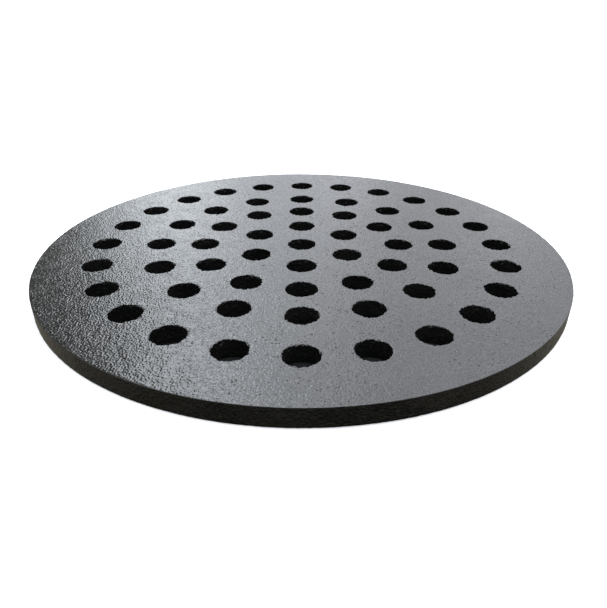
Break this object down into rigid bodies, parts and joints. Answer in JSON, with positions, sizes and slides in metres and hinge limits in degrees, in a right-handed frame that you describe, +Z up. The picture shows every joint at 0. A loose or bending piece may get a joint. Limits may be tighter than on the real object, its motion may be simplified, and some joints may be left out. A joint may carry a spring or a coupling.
{
  "type": "perforated drain cover",
  "caption": "Round flat cast-iron cover pierced right through by rings of tapered round drain holes, made to drop loose into a recessed frame.",
  "frame": {"origin": "middle of the underside, on the axis of the middle drain hole", "axes": "+Z up, square to the cover's two faces; -Y from the middle hole towards the first hole of every ring"},
  "size_m": [0.235, 0.235, 0.0081],
  "materials": {
    "black_cast_iron": "semi-gloss black bitumen-type paint over a fine sand-cast skin"
  },
  "bodies": {
    "root": {"perforated_cover": "black_cast_iron"}
  },
  "joints": []
}
